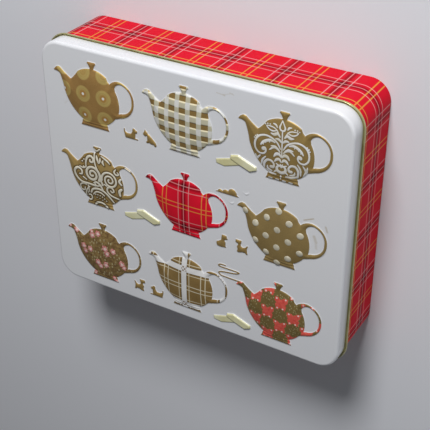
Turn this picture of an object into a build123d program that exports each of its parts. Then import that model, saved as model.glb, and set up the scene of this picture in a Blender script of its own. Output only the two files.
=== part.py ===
from build123d import *
import math
import os

# Cookie tin: a rounded rectangular tin with a slip lid. It stands on its base, lid up.
# Origin: centre of the footprint, on the surface the tin stands on. All sizes in millimetres.

# overall sizes, measured over the lid's curled rim
lid_length = 240.0        # X
lid_width = 200.0         # Y
rim_corner_radius = 17.3  # outside corner of the curled rim, from above
face_height = 57.5        # flat lid face above the surface the tin stands on

# sheet metal
sheet = 0.28              # tinplate thickness
fold_gap = 0.05           # left between folded layers
slip_gap = 0.20           # between the lid's skirt and the wall
seat_gap = 0.02           # between the lid's shoulder and the wall's curl

# lid
rim_curl = 2.2            # outside diameter of the lid's curled rim
skirt_drop = 12.0         # lid face down to the centre of the curled rim
shoulder_radius = 2.2     # outside radius where the face turns down into the skirt
rim_curl_end = 235.0      # how far the sheet rolls round the rim, degrees

# wall and base
wall_curl = 1.6           # outside diameter of the inward curl on the wall's top edge
seam_width = 4.2          # width of the folded seam round the base
base_rise = 2.0           # how far the base panel steps up inside its seam
step_radius = 0.8         # middle radius of that step
side_seam_width = 5.0     # width of the lock seam that closes the wall
side_seam_offset = 62.0   # its distance from the middle of the short side

# raised figures on the lid
edge_relief = 1.0         # height of the raised figures' edges above the face
crown_relief = 1.6        # how far a teapot's body swells above its edge
crown_radius = 17.0       # of that swelling, from above
crown_x = -2.5            # its centre, from the teapot's own origin
crown_y = -1.5
pot_pitch_x = 73.0
pot_pitch_y = 64.4
art_x = -1.3              # middle teapot's knob, from the lid's centre
art_y = 0.9               # middle teapot's centre line, from the lid's centre
steam_width = 1.1
dot_diameter = 5.0        # raised dots on the spotted teapot
dot_relief = 0.35         # their height above the teapot
dot_pitch_x = 8.25
dot_pitch_y = 6.8

# derived
wall_inset = rim_curl + slip_gap
wall_length = lid_length - 2.0 * wall_inset
wall_width = lid_width - 2.0 * wall_inset
wall_radius = rim_corner_radius - wall_inset
skirt_inset = rim_curl - sheet
skirt_radius = rim_corner_radius - skirt_inset
rim_z = face_height - skirt_drop


def bar(p, q):
    # one straight length of sheet, drawn from end to end along its middle
    dx = q[0] - p[0]
    dz = q[1] - p[1]
    span = math.hypot(dx, dz)
    nx = -dz / span * sheet / 2.0
    nz = dx / span * sheet / 2.0
    corners = [(p[0] + nx, p[1] + nz), (q[0] + nx, q[1] + nz), (q[0] - nx, q[1] - nz), (p[0] - nx, p[1] - nz)]
    return make_face(Polyline(*corners, close=True))


def bend(centre, radius, start, size):
    # one bent length of sheet; radius is to the middle of the sheet, angles in degrees
    outer = CenterArc(centre, radius + sheet / 2.0, start, size)
    inner = CenterArc(centre, radius - sheet / 2.0, start, size)
    ends = [Line(outer @ 0, inner @ 0), Line(outer @ 1, inner @ 1)]
    return make_face([outer, inner] + ends)


def sweep_round(section, length, width, radius):
    # carry a section round a rounded rectangle; section x is measured from the corner's centre
    upright = Plane.XZ * section
    half_x = length / 2.0 - radius
    half_y = width / 2.0 - radius
    corner = revolve(upright, axis=Axis.Z, revolution_arc=90.0)
    if corner.center().Y < 0.0:
        corner = corner.rotate(Axis.Z, 90.0)
    pieces = []
    for turn, x, y in [(0, half_x, half_y), (90, -half_x, half_y), (180, -half_x, -half_y), (270, half_x, -half_y)]:
        pieces.append(Pos(x, y, 0) * corner.rotate(Axis.Z, turn))
    for turn, x, y, run in [(0, half_x, 0, half_y), (90, 0, half_y, half_x), (180, -half_x, 0, half_y),
                            (270, 0, -half_y, half_x)]:
        side = extrude(upright, amount=run, both=True)
        pieces.append(Pos(x, y, 0) * side.rotate(Axis.Z, turn))
    ring = pieces[0]
    for piece in pieces[1:]:
        ring = ring + piece
    return ring


def sheet_panel(length, width, radius, top):
    # flat rounded panel, one sheet thick
    return Pos(0, 0, top - sheet) * extrude(RectangleRounded(length, width, radius), amount=sheet)


def wall_curl_z():
    # height of the wall curl's centre when the lid's shoulder rests on it
    shoulder_inside = shoulder_radius - sheet
    across = (rim_curl + shoulder_inside) - (wall_inset + wall_curl / 2.0)
    reach = shoulder_inside - wall_curl / 2.0 - seat_gap
    return face_height - sheet - shoulder_inside + math.sqrt(reach * reach - across * across)


def base_fold_radius():
    # outside radius of the wall's turn into the base seam
    return 2.5 * sheet + 3.0 * fold_gap


def make_body_wall():
    r = wall_radius
    mid = sheet / 2.0
    layer = sheet + fold_gap
    turn = base_fold_radius()
    top = wall_curl_z()
    curl_mid = wall_curl / 2.0 - mid
    inner = r - seam_width + layer + mid
    section = bar((r - mid, turn), (r - mid, top))
    section = section + bend((r - wall_curl / 2.0, top), curl_mid, 0, 280)
    section = section + bend((r - turn, turn), turn - mid, 270, 90)
    section = section + bar((inner, mid), (r - turn, mid))
    section = section + bend((inner, mid + layer), layer, 90, 180)
    section = section + bar((inner, mid + 2.0 * layer), (r - turn - layer, mid + 2.0 * layer))
    wall = sweep_round(section, wall_length, wall_width, r)
    return wall + side_seam(top)


def side_seam(top):
    # the ends of the strip, hooked together and pressed flat on the inside
    low = 4.0 * (sheet + fold_gap) + 0.4
    high = top - wall_curl / 2.0 - 0.6
    depth = 3.0 * sheet
    ridge = Box(depth, side_seam_width, high - low)
    ridge = fillet(ridge.edges().filter_by(Axis.Z).group_by(Axis.X)[-1], sheet)
    x = -wall_length / 2.0 + sheet + depth / 2.0 - 0.01
    return Pos(x, side_seam_offset, (low + high) / 2.0) * ridge


def make_base_panel():
    r = wall_radius
    mid = sheet / 2.0
    layer = sheet + fold_gap
    turn = base_fold_radius()
    rim = mid + 3.0 * layer
    tuck = r - seam_width + 2.0 * layer + 3.0 * mid
    step = r - seam_width - step_radius
    flat = rim + base_rise
    section = bar((tuck, mid + layer), (r - turn, mid + layer))
    section = section + bend((r - turn, mid + 2.0 * layer), layer, 270, 180)
    section = section + bar((step, rim), (r - turn, rim))
    section = section + bend((step, rim + step_radius), step_radius, 180, 90)
    section = section + bend((step - 2.0 * step_radius, flat - step_radius), step_radius, 0, 90)
    if base_rise > 2.0 * step_radius:
        section = section + bar((step - step_radius, rim + step_radius), (step - step_radius, flat - step_radius))
    inset = r - (step - 2.0 * step_radius)
    rim_ring = sweep_round(section, wall_length, wall_width, r)
    panel = sheet_panel(wall_length - 2.0 * inset, wall_width - 2.0 * inset, r - inset, flat + mid)
    return rim_ring + panel


def outline(start, *steps):
    # closed outline: a step is the next point, or (point on the arc, next point)
    edges = []
    here = start
    for step in steps:
        if isinstance(step[0], tuple):
            edges.append(ThreePointArc(here, step[0], step[1]))
            here = step[1]
        else:
            edges.append(Line(here, step))
            here = step
    if here != start:
        edges.append(Line(here, start))
    return make_face(edges)


def teapot():
    # teapot seen from the side: spout to the left, handle to the right, origin under the knob at mid height
    pot = outline(
        (-12.3, -25.2),
        (-10.2, -20.4),
        ((-19.5, -12.0), (-24.5, -1.5)),
        ((-25.7, 4.5), (-27.6, 10.2)),
        (-32.4, 11.7),
        (-32.0, 13.0),
        (-28.6, 15.3),
        (-26.6, 14.9),
        ((-22.6, 11.2), (-18.3, 8.3)),
        ((-15.0, 11.6), (-12.2, 15.2)),
        ((-7.4, 17.8), (-1.5, 19.0)),
        ((-2.2, 21.0), (-3.7, 23.0)),
        (-3.2, 24.1),
        (3.0, 24.1),
        (3.5, 23.0),
        ((2.1, 21.0), (1.5, 19.0)),
        ((7.0, 17.8), (11.6, 15.3)),
        (12.6, 12.9),
        (14.2, 11.3),
        ((17.4, 13.8), (22.5, 14.8)),
        ((30.7, 10.0), (33.4, 1.5)),
        ((30.2, -7.4), (22.3, -12.2)),
        (17.4, -14.0),
        ((14.2, -17.5), (10.2, -20.4)),
        (11.6, -25.2),
    )
    hole = outline(
        (18.1, 9.2),
        ((20.3, 12.0), (24.0, 12.8)),
        ((29.6, 8.9), (31.5, 1.5)),
        ((28.8, -5.8), (22.6, -8.7)),
        (20.5, -9.4),
        ((21.1, -1.5), (18.4, 6.8)),
    )
    return pot, hole


def shortbread():
    # two fingers of shortbread, one lying over the other
    return outline((-15.0, -1.6), (-4.4, 1.6), (-3.9, 4.2), (1.6, 5.6), (15.3, 0.3), (15.3, -2.3), (10.4, -4.4),
                   (3.0, -1.8), (-8.6, -5.6), (-14.7, -4.6))


def dog_lying():
    return outline((-5.9, 2.6), (-5.2, 2.8), (-4.8, 0.6), (-3.0, -0.3), (-0.2, -0.2), (1.0, 1.5), (1.4, 4.2),
                   (2.8, 4.4), (4.0, 3.2), (5.2, 2.8), (4.9, 1.0), (3.7, 0.8), (3.4, -3.0), (5.7, -3.3),
                   (5.7, -4.1), (-4.9, -4.1), (-5.3, -2.0), (-5.9, 0.6))


def dog_looking_back():
    return outline((-4.4, 6.0), (-3.9, 4.8), (-2.6, 4.0), (-2.1, 2.7), (-1.2, 2.6), (0.4, 1.0), (2.7, -1.2),
                   (4.2, -2.9), (4.7, -4.4), (4.0, -5.3), (2.7, -5.4), (2.5, -4.3), (-0.6, -4.2), (-1.0, -3.4),
                   (-2.3, -4.0), (-3.9, -4.0), (-3.6, -2.9), (-2.8, -2.0), (-3.0, 0.2), (-3.4, 1.1), (-4.5, 0.4),
                   (-5.7, 1.4), (-5.5, 2.7), (-4.9, 4.0))


def dog_sitting():
    return outline((-0.1, 5.2), (3.5, 5.1), (4.0, 3.4), (4.7, 2.3), (2.2, 1.5), (2.1, 0.6), (2.9, -0.6),
                   (2.8, -3.4), (3.5, -4.7), (1.8, -4.8), (-0.8, -5.2), (-3.8, -4.9), (-4.4, -3.0), (-4.2, -1.4),
                   (-2.2, -0.5), (-0.6, 0.9), (-0.4, 3.0))


def dog_standing():
    return outline((-4.7, 5.2), (-0.1, 5.2), (-0.3, 3.0), (-0.8, 2.0), (-0.5, 0.8), (0.9, -0.1), (2.9, 0.6),
                   (4.2, 2.4), (4.9, 2.1), (4.1, -0.3), (4.2, -2.4), (4.8, -4.7), (3.6, -5.0), (2.8, -3.8),
                   (0.4, -3.9), (-0.9, -4.5), (-3.2, -5.0), (-3.6, -4.2), (-3.1, -2.4), (-3.7, -0.2), (-2.8, 1.3),
                   (-2.9, 2.3), (-4.8, 2.8))


def cloud():
    return outline((-9.2, -2.2), ((-8.4, -1.6), (-7.4, -1.4)), ((-5.6, 0.3), (-3.8, -0.8)),
                   ((-1.8, 1.0), (0.6, 0.3)), ((3.2, 2.9), (6.4, 1.2)), ((7.0, 0.2), (7.0, -0.7)), (9.0, -2.2))


def steam(width):
    # one winding line of steam above a spout
    path = Polyline((17.4, -5.2), (3.0, -5.0), (0.4, -3.9), (-0.1, -2.7), (3.0, -1.4), (12.0, 0.1), (15.2, 1.2),
                    (14.6, 2.2), (1.5, 2.4), (-0.3, 3.3), (1.4, 4.4), (5.0, 4.4))
    return trace(path, width)


def dot_places():
    # staggered rows of dots over the teapot's body, lid and foot, in steps from the middle of the body
    rows = [(4, (0,)), (3, (-3, -1, 1)), (2, (-2, 0, 2)), (1, (-1, 1)), (0, (-2, 0, 2)), (-1, (-1, 1))]
    places = []
    for row, columns in rows:
        for column in columns:
            places.append((-2.0 + column * dot_pitch_x, -11.0 + row * dot_pitch_y))
    return places


def figures():
    # every small figure with its place on the lid, as (shape, mirrored, x, y)
    return [
        (dog_lying(), False, -44.3, 43.9),
        (dog_looking_back(), False, -28.3, 44.1),
        (dog_sitting(), False, 27.5, -19.6),
        (dog_standing(), False, 42.9, -19.7),
        (dog_standing(), True, -43.2, -83.0),
        (dog_lying(), True, -28.2, -83.9),
        (shortbread(), False, 37.7, 45.0),
        (shortbread(), False, -38.4, -20.6),
        (shortbread(), False, 35.8, -84.5),
        (cloud(), False, 31.6, 20.9),
    ]


def inside(shape):
    # the shape left one sheet thickness in from an outline
    return offset(shape, amount=-sheet, kind=Kind.ARC)


def pressed(shape, hollow, low, height):
    # boss standing height above the sheet at low, and the hollow behind it
    solid = Pos(0, 0, low) * extrude(shape, amount=height + sheet)
    space = Pos(0, 0, low) * extrude(hollow, amount=height)
    return solid, space


def swell(x, y):
    # height of a teapot's swelling above its edge, at a point of the teapot
    ball = (crown_radius ** 2 + crown_relief ** 2) / (2.0 * crown_relief)
    away = math.hypot(x - crown_x, y - crown_y)
    if away >= crown_radius:
        return 0.0
    return math.sqrt(ball * ball - away * away) - (ball - crown_relief)


def crown(low):
    # the teapot's swelling and the hollow behind it: two caps of spheres with one centre
    ball = (crown_radius ** 2 + crown_relief ** 2) / (2.0 * crown_relief)
    bottom = low - 0.5 * sheet
    slab = Pos(crown_x, crown_y, bottom) * extrude(Circle(crown_radius + 1.0), amount=2.0 * crown_relief + sheet)
    centre = Pos(crown_x, crown_y, low + sheet + crown_relief - ball)
    return (centre * Sphere(ball)) & slab, (centre * Sphere(ball - sheet)) & slab


def place_all(lid, parts, places):
    # fuse a boss at each place, then open the hollow behind it
    solid, space = parts
    lid = lid + [Pos(x, y, 0) * solid for x, y in places]
    return lid - [Pos(x, y, 0) * space for x, y in places]


def make_lid():
    r = skirt_radius
    mid = sheet / 2.0
    arc = shoulder_radius - mid
    rolled = rim_curl / 2.0 - mid
    section = bar((r - mid, rim_z), (r - mid, face_height - shoulder_radius))
    section = section + bend((r - shoulder_radius, face_height - shoulder_radius), arc, 0, 90)
    section = section + bend((r - mid + rolled, rim_z), rolled, 180, rim_curl_end)
    inset = skirt_inset + shoulder_radius
    lid = sweep_round(section, lid_length - 2.0 * skirt_inset, lid_width - 2.0 * skirt_inset, r)
    panel = sheet_panel(lid_length - 2.0 * inset, lid_width - 2.0 * inset, rim_corner_radius - inset, face_height)
    lid = lid + panel
    under = face_height - sheet
    pot, hole = teapot()
    pot_hollow = inside(pot) - offset(hole, amount=sheet, kind=Kind.ARC)
    pots = []
    for col in (-1, 0, 1):
        for row in (-1, 0, 1):
            pots.append((art_x + col * pot_pitch_x, art_y + row * pot_pitch_y))
    boss, space = pressed(pot - hole, pot_hollow, under, edge_relief)
    cap, cap_space = crown(under + edge_relief)
    lid = place_all(lid, (boss + cap, space + cap_space), pots)
    for shape, mirrored, x, y in figures():
        drawn = mirror(shape, about=Plane.YZ) if mirrored else shape
        lid = place_all(lid, pressed(drawn, inside(drawn), under, edge_relief), [(x, y)])
    winding = pressed(steam(steam_width), steam(steam_width - 2.0 * sheet), under, edge_relief)
    lid = place_all(lid, winding, [(25.3, -43.8)])
    dot = Circle(dot_diameter / 2.0)
    for x, y in dot_places():
        out = math.hypot(x - crown_x, y - crown_y)
        grow = 1.0 if out == 0.0 else 1.0 + dot_diameter / 2.0 / out
        edge = swell(crown_x + (x - crown_x) * grow, crown_y + (y - crown_y) * grow)
        height = swell(x, y) - edge + dot_relief
        parts = pressed(dot, inside(dot), under + edge_relief + edge, height)
        lid = place_all(lid, parts, [(art_x + pot_pitch_x + x, art_y + y)])
    return lid


os.makedirs("parts", exist_ok=True)
export_step(make_body_wall(), "parts/body_wall.step")
export_step(make_base_panel(), "parts/base_panel.step")
export_step(make_lid(), "parts/lid.step")
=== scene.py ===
import math

import bmesh
import bpy
import numpy as np
from mathutils import Matrix, Vector


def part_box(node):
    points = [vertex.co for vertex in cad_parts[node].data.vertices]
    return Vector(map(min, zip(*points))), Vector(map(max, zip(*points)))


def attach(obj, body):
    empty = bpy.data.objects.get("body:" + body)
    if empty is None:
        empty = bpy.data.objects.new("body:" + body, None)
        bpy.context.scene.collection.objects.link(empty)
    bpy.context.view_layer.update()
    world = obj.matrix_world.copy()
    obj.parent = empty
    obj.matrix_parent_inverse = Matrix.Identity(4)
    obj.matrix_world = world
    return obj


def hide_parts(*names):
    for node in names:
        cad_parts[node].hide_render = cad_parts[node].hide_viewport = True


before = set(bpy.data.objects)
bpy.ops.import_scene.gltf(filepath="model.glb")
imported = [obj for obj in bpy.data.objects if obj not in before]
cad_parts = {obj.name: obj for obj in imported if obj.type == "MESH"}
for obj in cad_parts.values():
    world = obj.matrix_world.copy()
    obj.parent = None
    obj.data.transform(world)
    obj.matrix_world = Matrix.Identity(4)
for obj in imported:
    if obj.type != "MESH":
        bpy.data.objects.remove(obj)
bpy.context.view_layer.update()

# A sheet-metal cookie tin with a slip lid, its face pressed with teapots. Sizes are in millimetres here and
# in metres in the meshes.
MM = 0.001

# ---------------------------------------------------------------- sizes of the tin
lid_low, lid_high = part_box("lid")
LENGTH = (lid_high[0] - lid_low[0]) / MM
WIDTH = (lid_high[1] - lid_low[1]) / MM
FACE = 57.5
SHEET = 0.28
RIM_CORNER = 17.3
RIM_CURL = 2.2
SKIRT_INSET = RIM_CURL - SHEET
SKIRT_DROP = 12.0
SHOULDER = 2.2
WALL_INSET = 2.4
WALL_CURL = 1.6
WALL_CURL_Z = 55.903
BASE_TURN = 0.85
SEAM_WIDTH = 4.2
FOLD_GAP = 0.05
LOCK_SEAM_Y = 62.0
PANEL_INSET = SKIRT_INSET + SHOULDER
PANEL_HALF = (LENGTH / 2 - PANEL_INSET, WIDTH / 2 - PANEL_INSET)
PANEL_CORNER = RIM_CORNER - PANEL_INSET

# the teapots' grid on the lid
POT_PITCH = (73.0, 64.4)
POT_MIDDLE = (-1.3, 0.9)
# a teapot rises by EDGE_RISE at its outline, then by SWELL over SWELL_REACH; nothing goes over TALLEST
EDGE_RISE = 0.5
SWELL = 2.05
SWELL_REACH = 15.5
SWELL_EDGE = 2.2
TALLEST = 2.83


# ---------------------------------------------------------------- outlines of the pressed figures
def arc_through(a, b, c, count):
    """Points of the circle through a, b and c, after a and up to c."""
    (ax, ay), (bx, by), (cx, cy) = a, b, c
    turn = 2.0 * (ax * (by - cy) + bx * (cy - ay) + cx * (ay - by))
    ux = ((ax**2 + ay**2) * (by - cy) + (bx**2 + by**2) * (cy - ay) + (cx**2 + cy**2) * (ay - by)) / turn
    uy = ((ax**2 + ay**2) * (cx - bx) + (bx**2 + by**2) * (ax - cx) + (cx**2 + cy**2) * (bx - ax)) / turn
    radius = math.hypot(ax - ux, ay - uy)
    first = math.atan2(ay - uy, ax - ux)
    middle = (math.atan2(by - uy, bx - ux) - first) % math.tau
    last = (math.atan2(cy - uy, cx - ux) - first) % math.tau
    if middle > last:
        last -= math.tau
    steps = [first + last * (k + 1) / count for k in range(count)]
    return [(ux + radius * math.cos(s), uy + radius * math.sin(s)) for s in steps]


def outline(start, *steps):
    """Closed outline; a step is the next point, or (point on the arc, next point)."""
    points = [start]
    for step in steps:
        if isinstance(step[0], tuple):
            points += arc_through(points[-1], step[0], step[1], 10)
        else:
            points.append(step)
    return np.array(points)


TEAPOT = outline(
    (-12.3, -25.2), (-11.3, -23.2), (-10.9, -21.4), (-10.2, -20.4), ((-19.5, -12.0), (-24.5, -1.5)),
    ((-25.7, 4.5), (-27.6, 10.2)), ((-29.4, 11.3), (-32.4, 11.6)), ((-32.5, 12.3), (-32.0, 13.0)),
    ((-30.4, 14.6), (-28.6, 15.3)), (-26.9, 14.9), ((-22.6, 11.2), (-18.3, 8.3)),
    ((-15.0, 11.6), (-12.2, 15.2)),
    ((-7.4, 17.8), (-1.5, 19.0)), ((-2.2, 21.0), (-3.7, 23.0)), (-3.2, 24.1), (3.0, 24.1), (3.5, 23.0),
    ((2.1, 21.0), (1.5, 19.0)), ((7.0, 17.8), (11.6, 15.3)), (12.6, 12.9), (14.2, 11.3),
    ((17.4, 13.8), (22.5, 14.8)), ((30.7, 10.0), (33.4, 1.5)), ((30.2, -7.4), (22.3, -12.2)), (17.4, -14.0),
    ((14.2, -17.5), (10.2, -20.4)), (10.7, -21.4), (10.9, -23.2), (11.8, -25.2))
HANDLE_HOLE = outline(
    (18.1, 9.2), ((20.3, 12.0), (24.0, 12.8)), ((29.6, 8.9), (31.5, 1.5)), ((28.8, -5.8), (22.6, -8.7)),
    (20.5, -9.4), ((21.1, -1.5), (18.4, 6.8)))
DOG_LYING = outline(
    (-5.9, 2.6), (-5.2, 2.8), (-4.8, 0.6), (-3.0, -0.3), (-0.2, -0.2), (1.0, 1.5), (1.4, 4.2), (2.8, 4.4),
    (4.0, 3.2), (5.2, 2.8), (4.9, 1.0), (3.7, 0.8), (3.4, -3.0), (5.7, -3.3), (5.7, -4.1), (-4.9, -4.1),
    (-5.3, -2.0), (-5.9, 0.6))
DOG_LOOKING_BACK = outline(
    (-4.4, 6.0), (-3.7, 4.9), (-2.6, 4.0), (-2.0, 2.9), (-1.2, 2.6), (0.4, 1.2), (2.7, -1.0), (4.2, -2.7),
    (4.7, -4.4), (4.0, -5.3), (2.7, -5.4), (2.5, -4.3), (-0.6, -4.2), (-1.0, -3.4), (-2.3, -4.0),
    (-3.9, -4.0),
    (-3.6, -2.9), (-2.8, -2.0), (-3.0, 0.2), (-2.9, 1.5), (-3.9, 0.9),
    (-4.8, 0.7), (-6.2, 1.8), (-6.0, 2.9), (-5.2, 4.1))
DOG_SITTING = outline(
    (-0.1, 5.2), (3.5, 5.1), (4.0, 3.4), (4.7, 2.3), (2.2, 1.5), (2.1, 0.6), (2.9, -0.6), (2.8, -3.4),
    (3.5, -4.7), (1.8, -4.8), (-0.8, -5.2), (-3.8, -4.9), (-4.4, -3.0), (-4.2, -1.4), (-2.2, -0.5),
    (-0.6, 0.9), (-0.4, 3.0))
DOG_STANDING = outline(
    (-4.7, 5.2), (-0.1, 5.2), (-0.3, 3.0), (-0.8, 2.0), (-0.5, 0.8), (0.9, -0.1), (2.9, 0.6), (4.2, 2.4),
    (4.9, 2.1), (4.1, -0.3), (4.2, -2.4), (4.8, -4.7), (3.6, -5.0), (2.8, -3.8), (0.4, -3.9), (-0.9, -4.5),
    (-3.2, -5.0), (-3.6, -4.2), (-3.1, -2.4), (-3.7, -0.2), (-2.8, 1.3), (-2.9, 2.3), (-4.8, 2.8))
SHORTBREAD = outline(
    (-15.0, -1.6), (-4.4, 1.6), (-3.9, 4.2), (1.6, 5.6), (15.3, 0.3), (15.3, -2.3), (10.4, -4.4), (3.0, -1.8),
    (-8.6, -5.6), (-14.7, -4.6))
UPPER_FINGER = outline(
    (-4.4, 1.6), (-3.9, 4.2), (1.6, 5.6), (15.3, 0.3), (15.3, -2.3), (10.4, -4.4), (-0.6, -0.1))
CLOUD = outline(
    (-9.2, -2.2), ((-8.4, -1.6), (-7.4, -1.4)), ((-5.6, 0.3), (-3.8, -0.8)), ((-1.8, 1.0), (0.6, 0.3)),
    ((3.2, 2.9), (6.4, 1.2)), ((7.0, 0.2), (7.0, -0.7)), (9.0, -2.2))
BIRD = outline((-2.2, 0.3), ((-0.9, -0.5), (0.1, -0.4)), ((1.3, 0.2), (2.2, 1.3)), ((1.4, -0.7), (0.0, -1.1)))
STEAM = [(17.4, -5.2), (3.0, -5.0), (0.4, -3.9), (-0.1, -2.7), (3.0, -1.4), (12.0, 0.1), (15.2, 1.2),
         (14.6, 2.2), (1.5, 2.4), (-0.3, 3.3), (1.4, 4.4), (5.0, 4.4)]


def mirrored(points):
    return points * np.array((-1.0, 1.0))


# ---------------------------------------------------------------- how deep a point lies inside a figure
def distance_to_runs(x, y, runs):
    best = np.full(x.shape, 1e9)
    for (ax, ay), (bx, by) in runs:
        dx, dy = bx - ax, by - ay
        t = np.clip(((x - ax) * dx + (y - ay) * dy) / (dx * dx + dy * dy + 1e-12), 0.0, 1.0)
        best = np.minimum(best, np.hypot(x - ax - t * dx, y - ay - t * dy))
    return best


def inside_outline(x, y, points):
    odd = np.zeros(x.shape, bool)
    for (ax, ay), (bx, by) in zip(points, np.roll(points, -1, axis=0)):
        if ay != by:
            odd ^= ((ay > y) != (by > y)) & (x < (bx - ax) * (y - ay) / (by - ay) + ax)
    return odd


def depth_inside(x, y, outlines):
    """Signed distance to the outlines' edge: above 0 inside the first and outside the others."""
    near = np.full(x.shape, 1e9)
    held = inside_outline(x, y, outlines[0])
    for points in outlines:
        near = np.minimum(near, distance_to_runs(x, y, zip(points, np.roll(points, -1, axis=0))))
    for points in outlines[1:]:
        held &= ~inside_outline(x, y, points)
    return np.where(held, near, -near)


def eased(t):
    t = np.clip(t, 0.0, 1.0)
    return t * t * (3.0 - 2.0 * t)


def teapot_rise(depth, x, y):
    """Height of a teapot over the lid's face: a rounded edge, a swelling body and a turned foot."""
    rise = EDGE_RISE * eased((depth + 0.45) / 1.0)
    full = 1.0 - np.clip(depth / SWELL_REACH, 0.0, 1.0)
    rise = rise + SWELL * (1.0 - full**SWELL_EDGE)
    foot = eased((depth + 0.2) / 0.7) * eased((-19.7 - y) / 0.5)
    return rise + foot * 0.5 * (np.abs(np.cos((y + 21.05) * math.pi / 2.5)) - 0.75)


def figure_rise(depth, x, y):
    full = 1.0 - np.clip(depth / 2.6, 0.0, 1.0)
    return 0.5 * eased((depth + 0.35) / 0.9) + 0.5 * (1.0 - full * full)


def shortbread_rise(depth, x, y):
    """Two flat-topped fingers; the longer one lies over the end of the other."""
    top = depth_inside(x, y, [UPPER_FINGER])
    return 0.6 * eased((depth + 0.35) / 1.0) + 0.65 * eased((np.minimum(top, depth) + 0.1) / 0.75)


# ---------------------------------------------------------------- printed and pressed ornament on the teapots
def smooth_path(points, per=7):
    """A rounded line through given points; each point is (x, y, half width)."""
    p = np.array([points[0]] + list(points) + [points[-1]], float)
    out = []
    for k in range(1, len(p) - 2):
        a, b, c, d = p[k - 1], p[k], p[k + 1], p[k + 2]
        for s in np.arange(per) / per:
            out.append(0.5 * (2 * b + (c - a) * s + (2 * a - 5 * b + 4 * c - d) * s**2
                              + (3 * b - a - 3 * c + d) * s**3))
    out.append(p[-1])
    return np.array(out)


def over_paths(x, y, paths):
    """How far a point lies inside the widest of the painted lines, in mm; below 0 outside."""
    best = np.full(x.shape, -9.0)
    for path in paths:
        low, high = path[:, :2].min(0) - 3.0, path[:, :2].max(0) + 3.0
        near = (x > low[0]) & (x < high[0]) & (y > low[1]) & (y < high[1])
        px, py, found = x[near], y[near], best[near]
        for a, b in zip(path[:-1], path[1:]):
            dx, dy = b[0] - a[0], b[1] - a[1]
            t = np.clip(((px - a[0]) * dx + (py - a[1]) * dy) / (dx * dx + dy * dy + 1e-12), 0.0, 1.0)
            gap = np.hypot(px - a[0] - t * dx, py - a[1] - t * dy)
            found = np.maximum(found, a[2] + (b[2] - a[2]) * t - gap)
        best[near] = found
    return best


def spiral(x, y, outer, inner, start, turns, width):
    """A coil from the outside in; turns below 0 wind clockwise, start is in degrees."""
    count = max(8, int(abs(turns) * 16))
    points = []
    for k in range(count + 1):
        s = k / count
        r = outer + (inner - outer) * s
        a = math.radians(start) + turns * math.tau * s
        points.append((x + r * math.cos(a), y + r * math.sin(a), width * (1.0 - 0.25 * s)))
    return points


def dabs(*places):
    """Short dabs of paint; each place is (x, y, half width)."""
    return [[(x, y, half), (x + 0.1, y, half)] for x, y, half in places]


DAMASK_HALF = [
    [(1.0, -1.9, .3), (3.5, 2.1, .5), (7.5, 4.6, .55), (12, 5.4, .55), (16.5, 3.6, .6), (18.8, -.4, .6),
     (18.6, -4.9, .55), (16, -7.8, .5), (12.8, -7.8, .5), (11.2, -5.8, .5), (11.9, -3.9, .9),
     (13.0, -4.4, 1.2)],
    [(5, 1.8, .3), (8, 2.7, .8), (10.8, 1.8, .9), (13.2, .2, .8), (14.8, -1.9, .4)],
    [(11.5, 1.5, .5), (11.4, 0, .15)], [(13.4, .2, .5), (12.9, -1.6, .15)], [(9.0, 2.3, .5), (8.6, .9, .15)],
    [(0, 18.4, .25), (1.2, 15.4, .35), (1.9, 13.2, .5), (1.2, 11.6, .5), (0, 11.2, .45)],
    [(0, 11.2, .3), (0, 2.0, .4), (0, -7.4, .25)],
    [(3.8, 10.8, .3), (6.4, 12.3, .35), (10.8, 12.6, .25), (9.4, 10.6, .35), (6.8, 9.6, .45),
     (4.2, 10.4, .3)],
    [(3.8, 10.8, .3), (1.6, 6.8, .3)],
    [(3.6, 12.8, .3), (4.6, 14.4, .6), (6.2, 15.0, .3)],
    [(1.6, 6.4, .3), (3.4, 8.4, .8), (5.6, 7.4, .9), (8.0, 7.8, .2)],
    [(0.8, 3.2, .4), (2.4, 4.6, .8), (4.4, 4.6, .4)],
    [(1.2, -4.2, .3), (3.0, -2.2, .7), (5.6, -1.6, .7), (8.6, -4.0, .3)],
    [(2, -2.9, .3), (4.6, -.8, .5), (7.6, -1.1, .3)],
    [(.4, -7.4, .3), (2.0, -5.6, .9), (4.0, -6.0, .9), (5.4, -8.0, .3)],
    [(.4, -10.8, .3), (1.6, -9.2, .8), (3.4, -9.6, .8), (4.8, -11.4, .3)],
    [(11.8, -18.2, .6), (11.9, -14.2, .75), (9.8, -11.6, .75), (6.9, -11.7, .65), (5.2, -13.6, .6),
     (5.6, -15.6, .8), (7.2, -15.7, .9)],
    [(12.0, -17.9, .5), (8.0, -19.6, .6), (3.5, -20.3, .4)],
    [(9.6, -15.6, .3), (9.2, -17.4, .6), (6.4, -18.4, .3)],
    [(0, -18.4, .9), (2.4, -17.4, .9), (3.1, -15.6, .8), (2.4, -14.2, .6)], [(0, -14.4, .6), (.8, -12.4, .3)],
    [(1.4, -13.8, .6), (3.6, -12.6, .3)], [(3.4, -17.6, .5), (4.8, -18.6, .3)],
    [(11.2, -9.6, .3), (13.4, -12.6, .6), (13.8, -16.6, .3)],
    [(15.0, -9.6, .3), (17.0, -12.0, .7), (18.0, -15.0, .3)],
    [(18.2, -9.6, .3), (17.4, -14.0, 1.0), (15.2, -18.4, .5)],
    [(1.6, -23.8, .55), (3.2, -23.8, .55)], [(6.2, -23.8, .5), (8.2, -23.8, .5)],
    [(0, -20.6, .5), (0, -22.8, .2)],
] + dabs((17.3, 4.2, .42), (18.5, 3.3, .42), (19.25, 1.95, .4), (8.5, 14, .4), (10.2, 14, .4),
         (11.7, 13.4, .35))
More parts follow.
